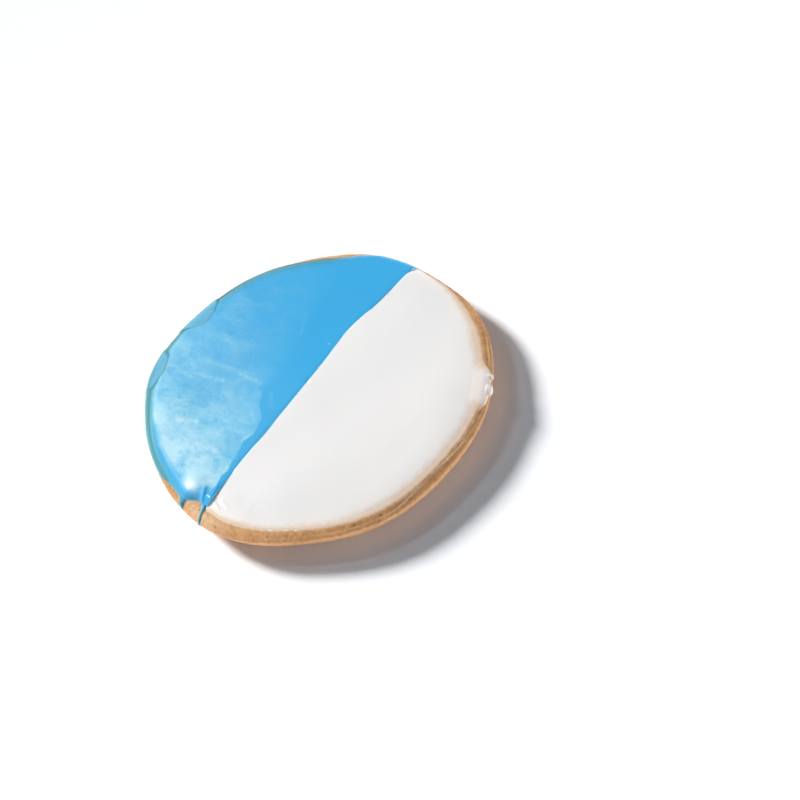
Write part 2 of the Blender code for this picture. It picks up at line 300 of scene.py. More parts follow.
# Teal along the blue icing's edge, where thin icing lies over the biscuit, darkened as painted shade on the
# rounded edge and darker still above 1: pairs of angle and strength, and of angle and width of its band
TEAL_AND_SHADE_ROUND = (
    (-90, 0.0), (90, 0.0), (100, 0.3), (116, 1.0), (124, 1.9), (165, 1.8), (195, 1.1), (250, 0.9),
    (262, 0.6), (270, 0.2))
TEAL_AND_SHADE_WIDTH = ((90, 0.0020), (116, 0.0024), (126, 0.0028), (162, 0.0028), (175, 0.0020), (270, 0.0020))
# The bright spot at the corner of the blue icing, a painted highlight where the icing is also glossier:
# middle, and half sizes across and along the seam
PAINTED_GLINT = (-0.0080, -0.0477, 0.0029, 0.0016)
# Pale streaks on the bloom, low raised lines painted paler as sheen, and below 0 darker ones: from (u, v),
# to (u, v), width and strength
SHEEN_STREAKS = (
    ((-0.0354, -0.0100), (-0.0229, -0.0085), 0.0007, 0.33),
    ((-0.0229, -0.0085), (-0.0150, -0.0079), 0.0008, 0.60),
    ((-0.0300, -0.0088), (-0.0190, -0.0062), 0.0006, 0.30),
    ((-0.0335, -0.0150), (-0.0259, -0.0134), 0.0008, 0.42),
    ((-0.0259, -0.0134), (-0.0205, -0.0105), 0.0006, 0.27),
    ((-0.0284, -0.0323), (-0.0229, -0.0292), 0.0013, 0.83),
    ((-0.0380, -0.0385), (-0.0284, -0.0323), 0.0010, 0.22),
    ((-0.0092, -0.0093), (-0.0048, -0.0142), 0.0007, 0.21),
    ((-0.0395, 0.0010), (-0.0340, -0.0010), 0.0007, 0.30),
    ((-0.0375, -0.0035), (-0.0350, 0.0030), 0.0006, 0.30),
    ((-0.0205, 0.0210), (-0.0160, 0.0130), 0.0006, 0.18),
    ((-0.0100, -0.0180), (-0.0060, -0.0205), 0.0006, 0.38),
    ((-0.0042, -0.0240), (-0.0050, -0.0280), 0.0005, 0.45),
    ((-0.0030, -0.0320), (-0.0022, -0.0390), 0.0005, 0.45),
    ((-0.0190, -0.0370), (-0.0160, -0.0440), 0.0009, -0.33),
    ((-0.0250, -0.0200), (-0.0130, -0.0210), 0.0016, -0.18))
# Wrinkles of the blue icing: the angle they run along and how much longer than wide they are
WRINKLE_ANGLE = 20
WRINKLE_STRETCH = 1.7

# Slow unevenness of the icings' tops, as ripples
WHITE_RIPPLES = ((0.000050, 0.0190, 41), (0.000006, 0.0080, 42))
BLUE_RIPPLES = ((0.000040, 0.0180, 37),)

# Specks of white icing off the white half, some real drops and some white glints on the icing's edges, the
# rim and by the seam as painted highlights: angle, reach, and lengths along and across the rim
FLECKS_AND_GLINTS = (
    (62.9, 0.0554, 0.0010, 0.0008), (64.6, 0.0551, 0.0006, 0.0005), (-63.5, 0.0515, 0.0019, 0.0005),
    (-58.2, 0.0516, 0.0022, 0.0005), (-54.9, 0.0518, 0.0009, 0.0004), (109.5, 0.0152, 0.0005, 0.0004),
    (97.9, 0.0118, 0.0004, 0.0004), (108.7, 0.0060, 0.0005, 0.0003), (94.0, 0.0243, 0.0004, 0.0003),
    (114.7, 0.0536, 0.0016, 0.0004), (34.6, 0.0553, 0.0007, 0.0005), (-93.8, 0.0521, 0.0011, 0.0004),
    (-96.2, 0.0525, 0.0008, 0.0004), (-91.5, 0.0519, 0.0006, 0.0003))
FLECK_SUNK = 0.00012
FLECK_HEIGHT_SHARE = 0.42
FLECK_RINGS = 5
FLECK_SIDES = 14

# Camera: where it stands round the object, how the picture is turned, and where the middle shows in it
PICTURE_SIZE = 800
CAMERA_AZIMUTH = 54.5
CAMERA_ELEVATION = 50.9
CAMERA_ROLL = 20.1
CAMERA_DISTANCE = 0.450
CAMERA_LENS = 65.71
SENSOR_WIDTH = 36.0
TARGET_HEIGHT = 0.005
TARGET_PIXEL = (316.8, 393.7)


def eased(part):
    """0 below 0, 1 above 1, and a smooth rise between."""
    t = np.clip(part, 0.0, 1.0)
    return t * t * (3.0 - 2.0 * t)


def bell(offset, width):
    return np.exp(-(offset / width) ** 2)


def ripple(points, wavelength, seed, count=28):
    """Smooth random relief with features of about one wavelength, mostly between -1 and 1."""
    draw = np.random.default_rng(seed)
    directions = draw.normal(size=(count, points.shape[-1]))
    directions /= np.linalg.norm(directions, axis=1, keepdims=True)
    total = np.zeros(points.shape[:-1])
    for direction in directions:
        pitch = 2 * math.pi / (wavelength * draw.uniform(0.75, 1.5))
        total += np.sin(points @ direction * pitch + draw.uniform(0, 2 * math.pi))
    return total / math.sqrt(count)


def grain_round(angle, reach, turns, wavelength, seed, count=36):
    """Smooth relief drawn out round the rim: up to turns waves round it, about one wavelength across."""
    draw = np.random.default_rng(seed)
    total = np.zeros(np.shape(reach))
    for _ in range(count):
        pitch = 2 * math.pi / (wavelength * draw.uniform(0.75, 1.5))
        waves = draw.integers(-turns, turns + 1)
        total += np.sin(waves * angle + pitch * reach + draw.uniform(0, 2 * math.pi))
    return total / math.sqrt(count)


def ripples(points, table):
    return sum(height * ripple(points, wavelength, seed) for height, wavelength, seed in table)


def grains_round(angle, reach, table):
    return sum(height * grain_round(angle, reach, turns, wavelength, seed)
               for height, turns, wavelength, seed in table)


def along_table(table, position):
    """Value at a position, from pairs of position and value."""
    stations, values = np.array(table).T
    return np.interp(position, stations, values)


def off_segment(u, v, start, end):
    """Distance of each place from the straight line between two places."""
    along = np.array(end) - np.array(start)
    place = np.stack([u - start[0], v - start[1]], axis=-1)
    part = np.clip(place @ along / (along @ along), 0.0, 1.0)
    return np.linalg.norm(place - part[..., None] * along, axis=-1)


def lines_at(lines, u, v):
    """Height at each place of soft straight lines, given by start, end, width and height."""
    return sum(height * bell(off_segment(u, v, start, end), width) for start, end, width, height in lines)


def spots_at(spots, u, v):
    """Height at each place of soft round spots, given by u, v, width and height."""
    return sum(height * bell(np.hypot(u - middle_u, v - middle_v), width)
               for middle_u, middle_v, width, height in spots)


def creases(points, wavelength, seed):
    """Narrow raised lines, 1 on a line and 0 away from it."""
    return np.exp(-(ripple(points, wavelength, seed) / 0.16) ** 2)


def smooth_section(points):
    """Distances, heights and reaches of samples of a curve through the section's points."""
    p = np.array(points)
    p = np.vstack([2 * p[0] - p[1], p, 2 * p[-1] - p[-2]])
    t = np.linspace(0.0, 1.0, SECTION_STEPS, endpoint=False)[:, None]
    pieces = []
    for a, b, c, d in zip(p[:-3], p[1:-2], p[2:-1], p[3:]):
        bend = 2 * a - 5 * b + 4 * c - d
        twist = -a + 3 * b - 3 * c + d
        pieces.append(b + 0.5 * t * ((c - a) + t * (bend + t * twist)))
    flat_spot = np.linspace(p[-2], (0.0, 0.0), FLAT_SPOT_STEPS)
    curve = np.vstack(pieces + [flat_spot])
    reach = np.concatenate([[0.0], np.cumsum(np.linalg.norm(np.diff(curve, axis=0), axis=1))])
    return curve[:, 0], curve[:, 1], reach


DISTANCES, HEIGHTS, REACHES = smooth_section(SECTION)
LIP_REACH = REACHES[np.argmax(DISTANCES)]
LAST_REACH = REACHES[-1]
FLAT_SPOT_REACH = REACHES[-FLAT_SPOT_STEPS]


def waves_round(waves, angle):
    return sum(wave.height * np.cos(wave.count * (angle - math.radians(wave.crest))) for wave in waves)


def face_swell(u, v):
    total = 0.0
    for swell in FACE_SWELLS:
        direction = math.radians(swell.direction)
        along = u * math.cos(direction) + v * math.sin(direction)
        turned = 2 * math.pi * along / swell.wavelength + math.radians(swell.phase)
        total = total + swell.height * np.sin(turned)
    return total


def on_biscuit(u, v):
    """The point of the biscuit's surface at (u, v) of the unrolled plane, before it is put in place."""
    reach, angle = np.hypot(u, v), np.arctan2(v, u)
    distance = np.interp(reach, REACHES, DISTANCES)
    height = np.interp(reach, REACHES, HEIGHTS)
    share = (distance / RIM_RADIUS) ** 2
    distance = distance * (1.0 + share * waves_round(OUTLINE_WAVES, angle) / RIM_RADIUS)
    height = height + waves_round(LIP_WAVES, angle) * bell(reach - LIP_REACH, LIP_SPREAD)
    height = height + face_swell(u, v) * eased((FACE_SWELLS_END - reach) / FACE_SWELLS_FADE)
    strength = 0.5 + 0.5 * np.cos(angle - math.radians(GROOVE_DEEPEST_ANGLE))
    height = height - GROOVE_DEPTH * strength * bell(reach - GROOVE_REACH, GROOVE_WIDTH)
    return np.stack([distance * np.cos(angle), distance * np.sin(angle), height], axis=-1)


def surface_and_normal(u, v):
    along = on_biscuit(u + NORMAL_STEP, v) - on_biscuit(u - NORMAL_STEP, v)
    across = on_biscuit(u, v + NORMAL_STEP) - on_biscuit(u, v - NORMAL_STEP)
    normal = np.cross(along, across)
    normal /= np.linalg.norm(normal, axis=-1, keepdims=True)
    return on_biscuit(u, v), normal


def above_biscuit(u, v, lift):
    """The points that stand off the biscuit by lift, square to its surface."""
    point, normal = surface_and_normal(u, v)
    return point + normal * lift[..., None]


def place_in_frame():
    """The move that puts the formulas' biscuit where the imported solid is."""
    angle = np.linspace(0.0, 2 * math.pi, BISCUIT_COLUMNS, endpoint=False)
    reach = np.linspace(0.9 * LIP_REACH, 1.1 * LIP_REACH, BISCUIT_ROWS)[:, None]
    points = on_biscuit(reach * np.cos(angle), reach * np.sin(angle)).reshape(-1, 3)
    middle = (points.min(axis=0) + points.max(axis=0)) / 2
    low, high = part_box("biscuit")
    shift = (np.array(low) + np.array(high)) / 2 - middle
    shift[2] = low.z
    return shift


SHIFT = place_in_frame()


def grid_faces(index):
    """Quads between the rows and columns of a grid of vertex numbers."""
    a, b, c, d = index[:-1, :-1], index[1:, :-1], index[1:, 1:], index[:-1, 1:]
    return np.stack([a, b, c, d], axis=-1).reshape(-1, 4).tolist()


def fan_faces(middle, ring):
    return [(middle, a, b) for a, b in zip(ring[:-1], ring[1:])]


def closed_rings(first, rows, columns):
    """Faces of a body made of rings, closed at both ends by fans to the two vertices that come after."""
    index = first + np.arange(rows * columns).reshape(rows, columns)
    index = np.hstack([index, index[:, :1]])
    last = first + rows * columns
    faces = grid_faces(index) + fan_faces(last, index[0].tolist())
    return faces + fan_faces(last + 1, index[-1].tolist()[::-1])


def add_object(name, data):
    item = bpy.data.objects.new(name, data)
    bpy.context.scene.collection.objects.link(item)
    return item


def add_mesh(name, points, faces, material, marks):
    """A smooth mesh with its marks as named values of its vertices."""
    mesh = bpy.data.meshes.new(name)
    mesh.from_pydata(points, [], faces)
    mesh.materials.append(material)
    mesh.shade_smooth()
    for mark, values in marks.items():
        attribute = mesh.attributes.new(mark, "FLOAT", "POINT")
        attribute.data.foreach_set("value", values.astype(np.float32).ravel())
    mesh.update()
    return add_object(name, mesh)


def biscuit_reaches():
    """Reaches of the biscuit's rows: wide apart under the icing, close on the lip and the side."""
    reach = np.linspace(0.0, LAST_REACH, 4000)
    density = 0.25 + 2.6 * eased((reach - 0.046) / 0.006) * eased((0.069 - reach) / 0.006)
    density += 3.0 * bell(reach - 0.0540, 0.0022)
    density += 0.75 * eased((reach - 0.060) / 0.006) * eased((FLAT_SPOT_REACH + 0.004 - reach) / 0.006)
    density += 0.25 * eased((reach - FLAT_SPOT_REACH) / 0.004)
    total = np.concatenate([[0.0], np.cumsum(0.5 * (density[1:] + density[:-1]))])
    return np.interp(np.linspace(0.0, total[-1], BISCUIT_ROWS + 2)[1:-1], total, reach)


def pore_pits(points, seed):
    """Depth of the pores at each point, as a share of the deepest."""
    draw = np.random.default_rng(seed)
    angle = draw.uniform(0, 2 * math.pi, PORES)
    reach = SIDE_FROM_REACH + (LAST_REACH - SIDE_FROM_REACH) * draw.uniform(0, 1, PORES) ** 1.3
    middles = on_biscuit(reach * np.cos(angle), reach * np.sin(angle))
    radii = PORE_RADIUS[0] + (PORE_RADIUS[1] - PORE_RADIUS[0]) * draw.uniform(0, 1, PORES) ** 2.5
    for number, (set_angle, set_reach) in enumerate(SET_PORES):
        a = math.radians(set_angle)
        middles[number] = on_biscuit(set_reach * math.cos(a), set_reach * math.sin(a))
        radii[number] = SET_PORE_RADIUS
    tree = kdtree.KDTree(PORES)
    for number, middle in enumerate(middles):
        tree.insert(Vector(middle), number)
    tree.balance()
    pits = np.zeros(len(points))
    for number, point in enumerate(points):
        if np.hypot(point[0], point[1]) < COVERED_RADIUS and point[2] > COVERED_HEIGHT:
            continue
        _, nearest, gap = tree.find(Vector(point))
        part = gap / radii[nearest]
        if part < 2.0:
            deepest = 1.0 if nearest < len(SET_PORES) else SMALL_PORE_SHARE
            pits[number] = math.exp(-part ** 2 * 1.5) * deepest
    return pits


def lip_line(reach, angle):
    """How far the pale raised line of the lip, and the crease inside it, show at each point."""
    degrees = np.degrees(angle)
    middle = along_table(LIP_LINE, degrees) + 0.00012 * np.sin(9 * angle) + 0.00008 * np.sin(23 * angle)
    strength = along_table(LIP_LINE_STRENGTH, degrees) * (0.75 + 0.25 * np.sin(17 * angle + 1.0))
    line = strength * bell(reach - middle, LIP_LINE_WIDTH)
    crease = strength * bell(reach - middle + CREASE_OFFSET, LIP_LINE_WIDTH)
    return line, crease


def make_biscuit(material):
    angles = np.linspace(0.0, 2 * math.pi, BISCUIT_COLUMNS, endpoint=False)
    reaches = biscuit_reaches()[:, None]
    u, v = (reaches * np.cos(angles)).ravel(), (reaches * np.sin(angles)).ravel()
    reach = np.broadcast_to(reaches, (len(reaches), BISCUIT_COLUMNS)).ravel()
    point, normal = surface_and_normal(u, v)
    angle = np.arctan2(v, u)
    bare = eased((reach - SIDE_FROM_REACH) / SIDE_FADE)
    crumb = grains_round(angle, reach, BISCUIT_GRAIN) + ripples(point, BISCUIT_RIPPLES)
    cracks = creases(point, CRACK_WAVELENGTH, 15) * eased((ripple(point, CRACK_PATCHES, 16) - 0.1) / 0.6)
    under = eased((reach - LIP_REACH - 0.006) / 0.006)
    pits = pore_pits(point, 17)
    line, crease = lip_line(reach, angle)
    lift = bare * (crumb - PORE_DEPTH * pits - CRACK_DEPTH * under * cracks)
    lift = lift + bare * LIP_LINE_HEIGHT * (line - CREASE_SHARE * crease)
    flat = eased((reach - FLAT_SPOT_REACH + 0.003) / 0.003)
    lift = np.where(flat > 0, lift * (1 - flat) - np.abs(lift) * 0.6 * flat, lift)
    points = point + normal * lift[:, None]
    points[:, 2] = np.maximum(points[:, 2], 0.0)
    points = np.vstack([points, on_biscuit(np.array([0.0, LAST_REACH]), np.zeros(2))])
    faces = closed_rings(0, len(reaches), BISCUIT_COLUMNS)
    # The crease is painted darker as shade; the raised line is paler
    baked = np.clip(bake_at(reach, angle, point) - 0.50 * line + 0.25 * crease, 0.0, 1.0)
    cream = np.clip(LIP_LINE_CREAM * line + pale_crumb(reach, angle), 0.0, CREAM_MOST)
    marks = {
        "bake": np.append(baked, BAKE_MIDDLES),
        "pore_shade": np.append(pits * bare, [0.0, 0.0]),
        "cream": np.append(cream, [0.0, 0.0])}
    return add_mesh("baked_biscuit", points + SHIFT, faces, material, marks)


def bake_at(reach, angle, point):
    """How brown the biscuit is, from 0 to 1."""
    past = reach - LIP_REACH
    bands = sum(strength * bell(past - middle, width) for strength, middle, width in BAKE_BANDS)
    start, end = BAKE_UNDER_REACH
    under = BAKE_UNDER * eased((past - start) / (end - start))
    uneven = grains_round(angle, reach, BAKE_STREAKS) + ripples(point, BAKE_PATCHES)
    return BAKE_LEAST + bands + under + uneven


def pale_crumb(reach, angle):
    """How much of the pale patch by the corner shows."""
    middle_angle, middle_reach, half_angle, half_reach, strength = PALE_CRUMB
    turned = np.degrees(angle) % 360 - middle_angle
    return strength * bell(turned, half_angle) * bell(reach - middle_reach, half_reach)


def seam(v):
    """How far the line where the icings meet lies from the Y axis."""
    dip = SEAM_DIP * bell(v - SEAM_DIP_AT, SEAM_DIP_WIDTH)
    turn = SEAM_TURN * bell(v - SEAM_TURN_AT, SEAM_TURN_WIDTH)
    return SEAM_OFFSET + SEAM_SLOPE * v - dip + turn


def edge_reach(half, angle):
    """Reach of the icing's full edge at an angle, without film and drips."""
    stations, reaches = np.array(half.edge).T
    i = np.clip(np.searchsorted(stations, angle) - 1, 0, len(stations) - 2)
    part = eased((angle - stations[i]) / (stations[i + 1] - stations[i]))
    return reaches[i] + (reaches[i + 1] - reaches[i]) * part


def film_share(film, angle):
    """1 in the middle of a film's arc and 0 at its ends."""
    return eased(1.7 * (1.0 - np.abs(angle - film.angle) / film.spread))


def film_reach(half, angle):
    """Reach of the icing's edge with the films beyond it."""
    return edge_reach(half, angle) + sum(film.width * film_share(film, angle) for film in half.films)


def root_spread(drip):
    """Half the angle that a drip takes up where it leaves the icing."""
    return math.degrees(DRIP_ROOT_FLARE * drip.half_width / RIM_RADIUS)


def drip_width(part):
    """Width of a drip at a part of its length, as a share of its width at the root."""
    neck = 1.0 - (1.0 - 1.0 / DRIP_ROOT_FLARE) * eased(part / DRIP_NECK_AT)
    tip = np.clip((part - DRIP_TIP_FROM) / (1.0 - DRIP_TIP_FROM), 0.0, 1.0)
    return neck * (1.0 - (1.0 - DRIP_TIP_WIDTH) * tip ** 2)


def body_share(half, inside, u, v):
    """Height of the full icing at a distance inside its edge, as a share of its most."""
    rounded = eased(inside / half.taper) ** (0.5 * half.roundness)
    if half.crown == 0:
        return rounded
    crowned = 1.0 - np.clip(1.0 - inside / half.crown, 0.0, 1.0) ** 2
    near_end = CROWN_NEAR_SHARE * eased((v - CROWN_NEAR_END[0]) / (CROWN_NEAR_END[1] - CROWN_NEAR_END[0]))
    return rounded + (crowned - rounded) * np.maximum(eased(np.abs(u) / CROWN_FROM_SEAM), near_end)


def icing_lift(half, angle, reach, u, v):
    """Height of the icing's top over the biscuit; angle is the column's, before a drip leans or narrows."""
    inside = edge_reach(half, angle) - reach
    body = body_share(half, inside, u, v)
    film = half.least + sum((one.height - half.least) * film_share(one, angle) for one in half.films)
    for bite in half.bites:
        step = bite_gap(bite, u, v) / BITE_STEP
        body = body * eased(step)
        film = film + (bite.film - film) * eased(1.0 - step)
    thinning = eased((film_reach(half, angle) - reach) / FILM_TAPER) ** 0.5
    total = -SUNK + np.maximum((half.full + SUNK) * body, (film + SUNK) * thinning)
    for drip in half.drips:
        across = np.clip(1.0 - ((angle - drip.angle) / root_spread(drip)) ** 2, 0.0, 1.0)
        along = eased(1.0 - inside / DRIP_FADE) * np.sqrt(eased((drip.tip_reach - reach) / DRIP_FADE))
        total = np.maximum(total, -SUNK + (drip.height + SUNK) * np.sqrt(across) * along)
    return total


def bite_gap(bite, u, v):
    """How far each place lies outside a bite, with a little unevenness."""
    turn = np.arctan2(v - bite.v, u - bite.u)
    uneven = 0.00025 * np.sin(5 * turn) + 0.00015 * np.sin(11 * turn + 1.0)
    return np.hypot(u - bite.u, v - bite.v) - bite.radius + uneven


def icing_cover(half, angle, reach, lift):
    """How well the icing hides the biscuit's colour: 1 where it is full, less at its edge and in films."""
    inside = edge_reach(half, angle) - reach
    through = eased((inside + 0.0003) / along_table(half.fade, angle)) ** 0.7
    cover = np.where(inside > 0, np.maximum(through, 0.1), np.clip(1.5 * lift / half.full, 0.0, 1.0))
    cover = cover * eased((lift + SUNK) / SUNK)
    for film in half.films:
        beyond = eased((film_reach(half, angle) - reach) / 0.0012)
        cover = np.maximum(cover, film.cover * film_share(film, angle) * beyond)
    return cover


def column_angles(half):
    """Angles of the icing's columns, and for each drip the numbers of its own columns."""
    angles, drip_columns = [half.start], []

    def spread_to(angle, steps):
        angles.extend(np.linspace(angles[-1], angle, steps + 1)[1:])

    for drip in half.drips:
        first = drip.angle - root_spread(drip)
        spread_to(first, math.ceil((first - angles[-1]) / COLUMN_SPACING))
        drip_columns.append(slice(len(angles) - 1, len(angles) + DRIP_COLUMNS))
        spread_to(drip.angle + root_spread(drip), DRIP_COLUMNS)
    end = half.start + 180
    spread_to(end, math.ceil((end - angles[-1]) / COLUMN_SPACING))
    return np.array(angles, float), drip_columns


def sheet_reaches(half, angles):
    """Reaches of the icing's rows, from near the middle to the end of its film."""
    band = edge_reach(half, angles) - OUTER_BAND
    inner = np.linspace(0.0, 1.0, INNER_ROWS + 1)[1:, None] ** INNER_ROWS_POWER
    outer = np.linspace(0.0, 1.0, OUTER_ROWS + 1)[1:, None]
    return np.vstack([inner * band, band + outer * (film_reach(half, angles) - band)])


def icing_layout(half):
    """Turned angle, reach and column angle of each vertex, the faces of the top, and the loop round it."""
    angles, drip_columns = column_angles(half)
    reach = sheet_reaches(half, angles)
    columns = np.broadcast_to(angles, reach.shape)
    index = 1 + np.arange(reach.size).reshape(reach.shape)
    faces = fan_faces(0, index[0].tolist()) + grid_faces(index)
    middle = np.zeros((1, 1))
    blocks = [(middle, middle, middle + half.start), (columns, reach, columns)]
    count = 1 + reach.size
    rim = index[-1].tolist()
    for drip, own in reversed(list(zip(half.drips, drip_columns))):
        part = np.linspace(0.0, 1.0, DRIP_ROWS + 1)[1:, None]
        start = film_reach(half, angles[own])
        reach = start + part * (drip.tip_reach - start)
        columns = np.broadcast_to(angles[own], reach.shape)
        turned = drip.angle + (columns - drip.angle) * drip_width(part) + drip.lean * part
        strip = count + np.arange(reach.size).reshape(reach.shape)
        faces += grid_faces(np.vstack([index[-1:, own], strip]))
        blocks.append((turned, reach, columns))
        count += reach.size
        around = strip[:-1, 0].tolist() + strip[-1].tolist() + strip[:-1, -1].tolist()[::-1]
        rim[own.start + 1:own.stop - 1] = around
    loop = [0] + index[:, 0].tolist()[:-1] + rim + index[:, -1].tolist()[:-1][::-1] + [0]
    return [np.concatenate([block[i].ravel() for block in blocks]) for i in range(3)], faces, loop


def bloom_and_sheen_at(u, v, from_seam, angle, inside):
    """How far bloom, and the sheen painted with it, has spread on the blue icing, with none beside the seam
    and the edge.
    """
    place = np.stack([u, v], axis=-1)
    along = u * BLOOM_SHEEN_DIRECTION[0] + v * BLOOM_SHEEN_DIRECTION[1] - BLOOM_SHEEN_START
    spread = np.clip(along / BLOOM_SHEEN_WIDTH + 0.05 * ripple(place, 0.014, 31), 0.0, 2.0) ** BLOOM_SHEEN_POWER
    spread = np.clip(spread + spots_at(BLOOM_SHEEN_PATCHES, u, v), 0.0, BLOOM_SHEEN_MOST)
    band = along_table(PLAIN_BAND, v) + 0.00025 * ripple(place, 0.0050, 32)
    softness = 0.0007 + 0.010 * eased((v + 0.013) / 0.010)
    beside_seam = eased((from_seam - band) / softness)
    edge = along_table(PLAIN_EDGE, angle) + 0.00030 * ripple(place, 0.0080, 33)
    beside_edge = eased((inside - edge) / (0.0010 + 0.0022 * eased((angle - 218) / 12)))
    return spread * beside_seam * beside_edge


def sheen_streaks_at(u, v):
    return lines_at(SHEEN_STREAKS, u, v) * (0.75 + 0.35 * ripple(np.stack([u, v], axis=-1), 0.0022, 34))


def stretched(u, v):
    """Coordinates in which marks that run along WRINKLE_ANGLE are as wide as they are long."""
    turn = math.radians(WRINKLE_ANGLE)
    along = (u * math.cos(turn) + v * math.sin(turn)) / WRINKLE_STRETCH
    across = -u * math.sin(turn) + v * math.cos(turn)
    return np.stack([along, across], axis=-1)


def blue_relief(u, v, bloom_and_sheen, sheen_streaks):
    place = np.stack([u, v], axis=-1)
    bent = stretched(u + 0.0012 * ripple(place, 0.009, 35), v + 0.0012 * ripple(place, 0.009, 36))
    slow = ripples(place, BLUE_RIPPLES) + 0.000008 * ripple(bent, 0.0050, 38) * bloom_and_sheen
    wrinkles = 0.000007 * creases(bent, 0.0060, 39) * eased(ripple(place, 0.014, 40) + 0.1)
    return slow + bloom_and_sheen * wrinkles + 0.000030 * sheen_streaks


def make_icing(half, material):
    (turned, reach, angle), faces, loop = icing_layout(half)
    u, v = reach * np.cos(np.radians(turned)), reach * np.sin(np.radians(turned))
    lift = icing_lift(half, angle, reach, u, v)
    cover = icing_cover(half, angle, reach, lift)
    gaps = [bite_gap(bite, u, v) for bite in half.bites]
    border_shade = sum(bell(gap - BORDER_SHADE_MIDDLE, BORDER_SHADE_WIDTH) for gap in gaps) + np.zeros(u.shape)
    in_bite = sum(eased(-gap / BITE_SOFTNESS) for gap in gaps) + np.zeros(u.shape)
    from_seam = np.abs(u)
    u = u + seam(v) * bell(u, SEAM_FADE) - half.side * SEAM_LAP
    lift = lift - half.seam_drop * (1.0 - eased(from_seam / half.seam_round) ** 0.5)
    inside = edge_reach(half, angle) - reach
    on_blue = 1.0 if half.side < 0 else 0.0
    bloom_and_sheen = on_blue * bloom_and_sheen_at(u, v, from_seam, angle, inside)
    sheen_streaks = on_blue * sheen_streaks_at(u, v)
    # Band along the edge where the teal of thin icing and painted shade go
    beside_edge = bell(inside, along_table(TEAL_AND_SHADE_WIDTH, angle)) * (1.0 - in_bite)
    teal_and_shade = along_table(TEAL_AND_SHADE_ROUND, angle) * np.maximum(beside_edge, eased((-inside - 0.0002) / 0.0008))
    # Where the painted highlight at the corner of the blue icing lies
    painted_glint = on_blue * bell(u - PAINTED_GLINT[0], PAINTED_GLINT[2]) * bell(v - PAINTED_GLINT[1], PAINTED_GLINT[3])
    if half.side < 0:
        relief = blue_relief(u, v, np.minimum(bloom_and_sheen, 1.0), sheen_streaks)
    else:
        relief = ripples(np.stack([u, v], axis=-1), WHITE_RIPPLES)
    relief = relief + spots_at(half.bulges, u, v) + lines_at(half.ridges, u, v)
    upper = above_biscuit(u, v, lift + relief * eased(np.clip(lift / half.full, 0.0, 1.0) * 3.0 - 0.3))
    ring = np.array(loop[:-1])
    lower = above_biscuit(u[ring], v[ring], np.minimum(lift[ring], 0.0) - UNDERFACE_DEPTH)
    middle = Vector((half.side * UNDERFACE_MIDDLE.x, UNDERFACE_MIDDLE.y, UNDERFACE_MIDDLE.z))
    count = len(upper)
    points = np.vstack([upper, lower, [middle]])
    under = list(range(count, count + len(ring))) + [count]
    for (a, b), (c, d) in zip(zip(loop[:-1], loop[1:]), zip(under[:-1], under[1:])):
        faces.append((b, a, c, d))
        faces.append((count + len(ring), d, c))
    values = {
        "cover": cover, "bloom_and_sheen": bloom_and_sheen, "sheen_streaks": sheen_streaks, "from_seam": from_seam, "inside": inside,
        "border_shade": border_shade, "in_bite": in_bite, "teal_and_shade": teal_and_shade, "painted_glint": painted_glint}
    pad = np.zeros(len(points) - count)
    marks = {name: np.concatenate([value, pad]) for name, value in values.items()}
    return add_mesh(half.name, points + SHIFT, faces, material, marks)


def icing_at(angle, reach):
    """Height of the icing above the biscuit at one place, and 0 where there is none."""
    half = WHITE_HALF if abs(angle) < 90 else BLUE_HALF
    turned = np.array(half.start + (angle - half.start) % 360)
    u, v = reach * math.cos(math.radians(angle)), reach * math.sin(math.radians(angle))
    return max(float(icing_lift(half, turned, np.array(reach), u, v)), 0.0)


def make_flecks_and_glints(material):
    """Small drops of icing and white glints painted as highlights, each a low dome whose foot is sunk in
    what it lies on.
    """
    draw = np.random.default_rng(51)
    turn = np.linspace(0.0, 2 * math.pi, FLECK_SIDES, endpoint=False)
    share = np.linspace(0.0, 1.0, FLECK_RINGS + 1)[1:, None]
    points, faces = [], []
    for angle, middle, length, width in FLECKS_AND_GLINTS:
        a = math.radians(angle)
        oval, three = draw.uniform(0, 6), draw.uniform(0, 6)
        wobble = 1 + 0.16 * np.cos(2 * turn + oval) + 0.10 * np.cos(3 * turn + three)
        along = np.append((0.5 * length * share * wobble * np.sin(turn)).ravel(), [0.0, 0.0])
        across = np.append((0.5 * width * share * wobble * np.cos(turn)).ravel(), [0.0, 0.0])
        dome = np.broadcast_to(np.sqrt(1 - share ** 2), (FLECK_RINGS, FLECK_SIDES))
        dome = np.append(dome.ravel(), [1.0, 0.0])
        lift = icing_at(angle, middle) + FLECK_HEIGHT_SHARE * width * dome - FLECK_SUNK
        u = (middle + across) * math.cos(a) - along * math.sin(a)
        v = (middle + across) * math.sin(a) + along * math.cos(a)
        first = sum(len(block) for block in points)
        faces += closed_rings(first, FLECK_RINGS, FLECK_SIDES)
        points.append(above_biscuit(u, v, lift))
    points = np.vstack(points)
    full = np.ones(len(points))
    marks = {"cover": full, "inside": 0.02 * full, "from_seam": 0.02 * full}
    return add_mesh("icing_flecks_and_glints", points + SHIFT, faces, material, marks)


